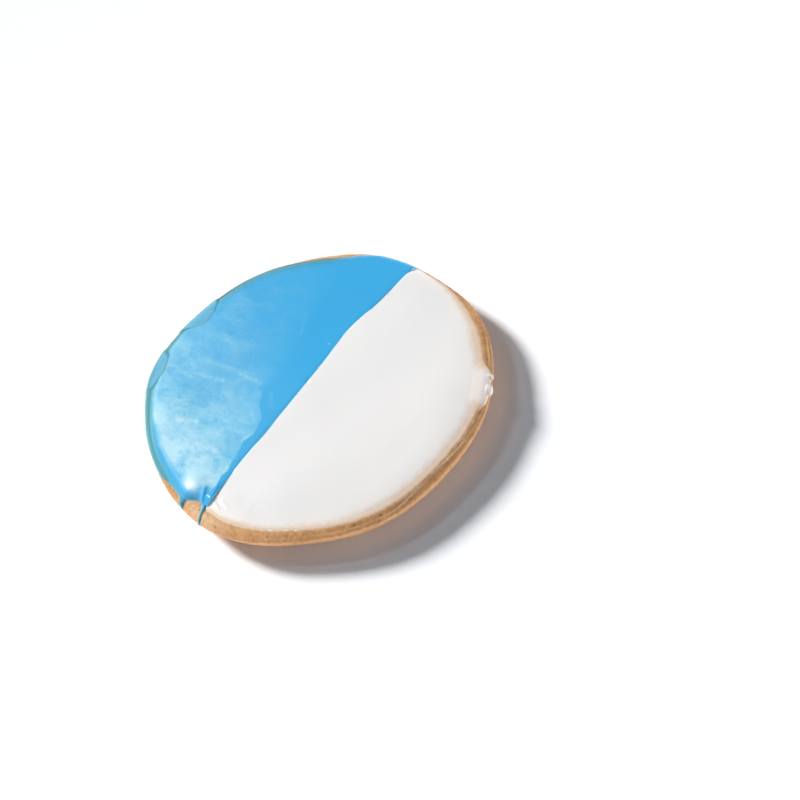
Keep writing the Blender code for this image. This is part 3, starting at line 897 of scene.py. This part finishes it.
class Nodes:
    """Short ways to add nodes to one material."""

    def __init__(self, name):
        self.material = bpy.data.materials.new(name)
        self.material.use_nodes = True
        self.tree = self.material.node_tree
        self.shader = self.tree.nodes["Principled BSDF"]
        self.place = self.tree.nodes.new("ShaderNodeTexCoord").outputs["Object"]

    def put(self, socket, value):
        if isinstance(value, bpy.types.NodeSocket):
            self.tree.links.new(value, socket)
        else:
            socket.default_value = (*value, 1.0) if isinstance(value, tuple) and len(value) == 3 else value

    def mark(self, name):
        node = self.tree.nodes.new("ShaderNodeAttribute")
        node.attribute_name = name
        return node.outputs["Fac"]

    def noise(self, size, detail=2.0, roughness=0.5, distortion=0.0, place=None):
        """Cloudy noise, 0 to 1, with patches of about that size."""
        node = self.tree.nodes.new("ShaderNodeTexNoise")
        self.put(node.inputs["Vector"], place or self.place)
        self.put(node.inputs["Scale"], 1.0 / size)
        self.put(node.inputs["Detail"], detail)
        self.put(node.inputs["Roughness"], roughness)
        self.put(node.inputs["Distortion"], distortion)
        return node.outputs[0]

    def turned_place(self, angle, scale):
        node = self.tree.nodes.new("ShaderNodeMapping")
        self.put(node.inputs["Vector"], self.place)
        node.inputs["Rotation"].default_value = (0.0, 0.0, -math.radians(angle))
        node.inputs["Scale"].default_value = scale
        return node.outputs["Vector"]

    def span(self, value, low, high, to_low=0.0, to_high=1.0):
        """value's range from low to high, spread over another range and held at its ends."""
        node = self.tree.nodes.new("ShaderNodeMapRange")
        node.interpolation_type = "SMOOTHSTEP"
        for key, number in zip(range(5), (value, low, high, to_low, to_high)):
            self.put(node.inputs[key], number)
        return node.outputs[0]

    def sum(self, operation, a, b):
        node = self.tree.nodes.new("ShaderNodeMath")
        node.operation = operation
        self.put(node.inputs[0], a)
        self.put(node.inputs[1], b)
        return node.outputs[0]

    def uneven(self, size, low, high, detail=2.0, roughness=0.5):
        """Cloudy noise, mostly from low to high."""
        return self.span(self.noise(size, detail, roughness), 0.3, 0.7, low, high)

    def blend(self, share, a, b):
        node = self.tree.nodes.new("ShaderNodeMix")
        node.data_type = "RGBA"
        self.put(node.inputs[0], share)
        self.put(node.inputs[6], a)
        self.put(node.inputs[7], b)
        return node.outputs[2]

    def tint(self, colour, other, share, most):
        """colour, turned towards another one by up to most where share is 1."""
        return self.blend(self.sum("MULTIPLY", share, most), colour, other)

    def bump(self, height, distance, strength=1.0, normal=None):
        node = self.tree.nodes.new("ShaderNodeBump")
        self.put(node.inputs["Height"], height)
        self.put(node.inputs["Distance"], distance)
        self.put(node.inputs["Strength"], strength)
        if normal is not None:
            self.put(node.inputs["Normal"], normal)
        return node.outputs[0]

    def finish(self, colour, roughness, normal, **constants):
        self.put(self.shader.inputs["Base Color"], colour)
        self.put(self.shader.inputs["Roughness"], roughness)
        self.put(self.shader.inputs["Normal"], normal)
        for name, value in constants.items():
            self.shader.inputs[name.replace("_", " ")].default_value = value
        return self.material


BISCUIT_PALE = (0.690, 0.392, 0.172)
BISCUIT_BROWN = (0.440, 0.190, 0.072)
BISCUIT_CREAM = (0.780, 0.640, 0.460)
BISCUIT_DARK = (0.130, 0.060, 0.028)
WHITE_COLOUR = (0.822, 0.808, 0.796)
WHITE_WARM_EDGE_LIGHT = (0.880, 0.825, 0.770)
WHITE_CROWN_LIGHT = (0.850, 0.820, 0.790)
WHITE_THIN = (0.735, 0.555, 0.405)
WHITE_FRINGE = (0.640, 0.780, 0.830)
BLUE_COLOUR = (0.056, 0.412, 0.752)
# Colours of the bloom: the pale crust with painted sheen, and paler still as painted sheen above 1
BLUE_BLOOM_SHEEN = (0.250, 0.600, 0.800)
BLUE_FROST_SHEEN = (0.475, 0.760, 0.890)
BLUE_FILM = (0.155, 0.430, 0.580)
BLUE_TEAL_SHADED = (0.090, 0.265, 0.300)
BLUE_TEAL_DEEP_SHADE = (0.035, 0.110, 0.130)
BLUE_DRIP = (0.200, 0.430, 0.430)
BLUE_BORDER_SHADE = (0.025, 0.130, 0.220)
BLUE_PAINTED_GLINT = (0.800, 0.920, 0.970)
FLOOR_COLOURS = ((0.945, 0.962, 0.980), (0.953, 0.970, 0.988))
WALL_COLOUR = (0.550, 0.555, 0.560)


def biscuit_colour(nodes, bake):
    """Colour of baked crumb, mottled in two sizes."""
    patches = nodes.uneven(0.0050, -0.12, 0.12, 3.0, 0.6)
    grain = nodes.uneven(0.0008, -0.19, 0.19, 3.0, 0.6)
    share = nodes.sum("ADD", bake, nodes.sum("ADD", patches, grain))
    return nodes.blend(share, BISCUIT_PALE, BISCUIT_BROWN)


def biscuit_material():
    nodes = Nodes("baked_crumb")
    colour = nodes.blend(nodes.mark("cream"), biscuit_colour(nodes, nodes.mark("bake")), BISCUIT_CREAM)
    specks = nodes.span(nodes.noise(0.0011, 2.0, 0.5), 0.68, 0.76)
    colour = nodes.tint(colour, BISCUIT_DARK, specks, 0.30)
    # Pores are painted darker, painted shade in the pits
    colour = nodes.tint(colour, BISCUIT_DARK, nodes.mark("pore_shade"), 0.80)
    crumb = nodes.bump(nodes.noise(0.0009, 4.0, 0.65), 0.00022, 0.8)
    normal = nodes.bump(nodes.noise(0.0003, 2.0, 0.6), 0.00006, 0.5, crumb)
    return nodes.finish(colour, nodes.uneven(0.0020, 0.55, 0.75), normal, Specular_IOR_Level=0.40)


def white_material():
    nodes = Nodes("white_sugar_icing")
    clouds = nodes.uneven(0.0140, 0.6, 1.0)
    near_edge = nodes.span(nodes.mark("inside"), 0.0010, 0.0080, 0.9, 0.0)
    # Away from the seam, over the crown, the white is warmer and painted lighter against the shade of its
    # slope
    outer = nodes.span(nodes.mark("from_seam"), 0.018, 0.036, 0.0, 0.85)
    colour = nodes.tint(WHITE_COLOUR, WHITE_CROWN_LIGHT, clouds, outer)
    # Near its edge the white is warmer where thin, and painted lighter against the shade of its sloping
    # edge
    colour = nodes.tint(colour, WHITE_WARM_EDGE_LIGHT, clouds, near_edge)
    fringe = nodes.span(nodes.mark("from_seam"), 0.0001, 0.0007, 0.8, 0.0)
    colour = nodes.blend(fringe, colour, WHITE_FRINGE)
    cover = nodes.sum("ADD", nodes.mark("cover"), nodes.uneven(0.0022, -0.06, 0.06))
    colour = nodes.blend(nodes.span(cover, 0.28, 0.98, 1.0, 0.0), colour, WHITE_THIN)
    colour = nodes.blend(nodes.span(cover, 0.0, 0.32, 1.0, 0.0), colour, biscuit_colour(nodes, 0.45))
    fine = nodes.bump(nodes.noise(0.0006, 3.0, 0.5), 0.00001, 0.5)
    normal = nodes.bump(nodes.noise(0.0040, 2.0, 0.5), 0.00005, 0.4, fine)
    return nodes.finish(colour, nodes.uneven(0.0060, 0.36, 0.46), normal, Specular_IOR_Level=0.40,
                        Subsurface_Weight=0.15, Subsurface_Scale=0.001)


def blue_material():
    nodes = Nodes("blue_sugar_icing")
    bloom_and_sheen = nodes.mark("bloom_and_sheen")
    crusted = nodes.sum("MULTIPLY", nodes.sum("MINIMUM", bloom_and_sheen, 1.0), 0.6)
    lanes = nodes.turned_place(WRINKLE_ANGLE, (1.0 / WRINKLE_STRETCH, 1.0, 1.0))
    cloud = nodes.span(nodes.noise(0.0085, 3.0, 0.6, 0.6, lanes), 0.32, 0.68, 0.62, 1.36)
    fine_cloud = nodes.span(nodes.noise(0.0026, 4.0, 0.65, 0.8, lanes), 0.32, 0.68, -0.24, 0.24)
    # The bloom's paleness is partly the crust's own and partly painted sheen; above 1 it turns to the frost
    # colour, painted sheen
    pale = nodes.sum("MULTIPLY", bloom_and_sheen, nodes.sum("ADD", cloud, fine_cloud))
    # The streaks add painted sheen to the bloom's paleness
    pale = nodes.sum("ADD", pale, nodes.mark("sheen_streaks"))
    colour = nodes.blend(pale, BLUE_COLOUR, BLUE_BLOOM_SHEEN)
    colour = nodes.blend(nodes.sum("SUBTRACT", pale, 1.0), colour, BLUE_FROST_SHEEN)
    # Pale dots on the bloom, sugar frost painted bright as sparkle highlights
    clusters = nodes.span(nodes.noise(0.0060, 2.0), 0.45, 0.62)
    dots = nodes.span(nodes.noise(0.00060, 2.0, 0.5), 0.60, 0.70)
    frost_and_sparkle = nodes.sum("MULTIPLY", nodes.sum("MULTIPLY", dots, clusters), nodes.sum("MULTIPLY", bloom_and_sheen, 0.65))
    colour = nodes.blend(frost_and_sparkle, colour, BLUE_FROST_SHEEN)
    colour = nodes.tint(colour, BLUE_FILM, nodes.mark("in_bite"), 0.85)
    # The dark line round a bite is painted shade along its step
    colour = nodes.tint(colour, BLUE_BORDER_SHADE, nodes.mark("border_shade"), 0.80)
    # Teal of the thin icing at the edge, darkened as painted shade, darker still where the mark passes 1
    teal_and_shade = nodes.mark("teal_and_shade")
    colour = nodes.blend(teal_and_shade, colour, BLUE_TEAL_SHADED)
    colour = nodes.blend(nodes.sum("SUBTRACT", teal_and_shade, 1.0), colour, BLUE_TEAL_DEEP_SHADE)
    colour = nodes.blend(nodes.span(nodes.mark("inside"), -0.0022, -0.0006, 1.0, 0.0), colour, BLUE_DRIP)
    # The corner spot is a painted highlight in the colour, and glossier in the roughness
    painted_glint = nodes.mark("painted_glint")
    colour = nodes.tint(colour, BLUE_PAINTED_GLINT, painted_glint, 0.85)
    cover = nodes.sum("ADD", nodes.mark("cover"), nodes.uneven(0.0012, -0.04, 0.04, 3.0, 0.6))
    colour = nodes.blend(nodes.span(cover, 0.0, 0.14, 1.0, 0.0), colour, biscuit_colour(nodes, 0.45))
    crinkle = nodes.bump(nodes.noise(0.0016, 4.0, 0.6, 1.0, lanes), 0.00004, crusted)
    specks = nodes.bump(nodes.noise(0.00040, 2.0, 0.6), 0.00002, crusted, crinkle)
    normal = nodes.bump(nodes.noise(0.0050, 2.0, 0.5), 0.00006, 0.4, specks)
    sheen = nodes.uneven(0.0030, -0.03, 0.03, 3.0)
    roughness = nodes.sum("ADD", nodes.span(bloom_and_sheen, 0.0, 0.6, 0.17, 0.38), sheen)
    roughness = nodes.sum("ADD", roughness, nodes.sum("MULTIPLY", teal_and_shade, 0.25))
    roughness = nodes.sum("SUBTRACT", roughness, nodes.sum("MULTIPLY", painted_glint, 0.16))
    return nodes.finish(colour, roughness, normal, Specular_IOR_Level=0.60, Subsurface_Weight=0.10,
                        Subsurface_Scale=0.0008)


def floor_material():
    nodes = Nodes("pale_floor")
    colour = nodes.blend(nodes.noise(0.0400, 1.0), *FLOOR_COLOURS)
    colour = nodes.blend(nodes.mark("wall"), colour, WALL_COLOUR)
    normal = nodes.bump(nodes.noise(0.0030, 2.0), 0.00001, 0.1)
    return nodes.finish(colour, 0.8, normal, Specular_IOR_Level=0.0)


def view_axes(azimuth, elevation, roll):
    a, e, q = math.radians(azimuth), math.radians(elevation), math.radians(roll)
    back = Vector((math.sin(a) * math.cos(e), -math.cos(a) * math.cos(e), math.sin(e)))
    right = Vector((math.cos(a), math.sin(a), 0.0))
    up = back.cross(right)
    return right * math.cos(q) - up * math.sin(q), right * math.sin(q) + up * math.cos(q), back


def add_camera():
    data = bpy.data.cameras.new("camera")
    data.lens = CAMERA_LENS
    data.sensor_width = SENSOR_WIDTH
    data.clip_start = 0.01
    data.clip_end = 20.0
    right, up, back = view_axes(CAMERA_AZIMUTH, CAMERA_ELEVATION, CAMERA_ROLL)
    pixels = CAMERA_LENS / SENSOR_WIDTH * PICTURE_SIZE
    sideways = (TARGET_PIXEL[0] - PICTURE_SIZE / 2) / pixels
    upwards = (PICTURE_SIZE / 2 - TARGET_PIXEL[1]) / pixels
    depth = CAMERA_DISTANCE / math.sqrt(1 + sideways ** 2 + upwards ** 2)
    target = Vector(SHIFT) + Vector((0, 0, TARGET_HEIGHT))
    place = target + depth * (back - sideways * right - upwards * up)
    camera = add_object("camera", data)
    camera.matrix_world = Matrix.Translation(place) @ Matrix((right, up, back)).transposed().to_4x4()
    bpy.context.scene.camera = camera


# Lights: a broad low key on the left that casts the shadow, a soft box and a small bright lamp above it,
# whose mirror images lie on the left end of the blue icing, and two low fills that light the rim on the
# camera's side. Directions are from the cookie to the light
KEY_AZIMUTH = 183.0
KEY_ELEVATION = 26.5
KEY_STRENGTH = 5.95
KEY_ANGLE = 12.0
KEY_COLOUR = (1.0, 0.995, 0.985)
PLAIN_LIGHT = (1.0, 1.0, 1.0)
FILL_LIGHT = (0.95, 0.99, 1.06)
BOX_LIGHTS = (
    BoxLight("sheen_box", 182.0, 49.0, 0.90, (0.60, 0.50), 0.60, PLAIN_LIGHT),
    BoxLight("lamp", 186.4, 50.1, 0.88, (0.08, 0.08), 0.60, PLAIN_LIGHT),
    BoxLight("fill", 285.0, 3.3, 1.10, (0.90, 0.12), 6.8, FILL_LIGHT),
    BoxLight("side_fill", 40.0, 3.3, 1.10, (0.90, 0.12), 8.8, FILL_LIGHT))
WORLD_COLOUR = (0.35, 0.75, 1.40)
WORLD_STRENGTH = 0.030

# Floor that curves up into a low wall all round
FLOOR_RADIUS = 2.4
FLOOR_CURVE = 0.5
WALL_HEIGHT = 1.1
FLOOR_COLUMNS = 96
FLOOR_CURVE_ROWS = 12


def sky_direction(azimuth, elevation):
    """Unit vector at an angle anticlockwise from +X and an angle above the floor."""
    a, e = math.radians(azimuth), math.radians(elevation)
    return Vector((math.cos(a) * math.cos(e), math.sin(a) * math.cos(e), math.sin(e)))


def add_light(name, kind, away, power, colour):
    """A light that shines from the direction away."""
    data = bpy.data.lights.new(name, kind)
    data.energy = power
    data.color = colour
    light = add_object(name, data)
    light.rotation_mode = "QUATERNION"
    light.rotation_quaternion = away.to_track_quat("Z", "Y")
    return light


def add_lights():
    key_away = sky_direction(KEY_AZIMUTH, KEY_ELEVATION)
    key = add_light("key", "SUN", key_away, KEY_STRENGTH, KEY_COLOUR)
    key.data.angle = math.radians(KEY_ANGLE)
    key.visible_glossy = False
    for box in BOX_LIGHTS:
        away = sky_direction(box.azimuth, box.elevation)
        light = add_light(box.name, "AREA", away, box.power, box.colour)
        light.location = away * box.distance
        light.data.shape = "RECTANGLE"
        light.data.size, light.data.size_y = box.size
    world = bpy.data.worlds.new("studio")
    world.use_nodes = True
    background = world.node_tree.nodes["Background"]
    background.inputs["Color"].default_value = (*WORLD_COLOUR, 1.0)
    background.inputs["Strength"].default_value = WORLD_STRENGTH
    bpy.context.scene.world = world


def add_floor():
    turn = np.linspace(0.0, math.pi / 2, FLOOR_CURVE_ROWS)
    radii = np.concatenate([FLOOR_RADIUS + FLOOR_CURVE * np.sin(turn), [FLOOR_RADIUS + FLOOR_CURVE]])
    heights = np.concatenate([FLOOR_CURVE * (1 - np.cos(turn)), [WALL_HEIGHT]])
    angle = np.linspace(0.0, 2 * math.pi, FLOOR_COLUMNS, endpoint=False)
    x, y = radii[:, None] * np.cos(angle), radii[:, None] * np.sin(angle)
    z = np.broadcast_to(heights[:, None], x.shape)
    index = np.arange(x.size).reshape(x.shape)
    index = np.hstack([index, index[:, :1]])
    points = np.stack([x, y, z], axis=-1).reshape(-1, 3)
    faces = grid_faces(index) + [tuple(range(FLOOR_COLUMNS))]
    marks = {"wall": eased(points[:, 2] / FLOOR_CURVE)}
    floor = add_mesh("floor", points, faces, floor_material(), marks)


def dress(piece, node):
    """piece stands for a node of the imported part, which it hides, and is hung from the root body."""
    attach(piece, "root")
    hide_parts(node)


bpy.context.scene.view_settings.view_transform = "Standard"
dress(make_biscuit(biscuit_material()), "biscuit")
white = white_material()
dress(make_icing(WHITE_HALF, white), "icing_white")
dress(make_icing(BLUE_HALF, blue_material()), "icing_blue")
flecks_and_glints = make_flecks_and_glints(white)
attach(flecks_and_glints, "root")
add_floor()
add_lights()
add_camera()
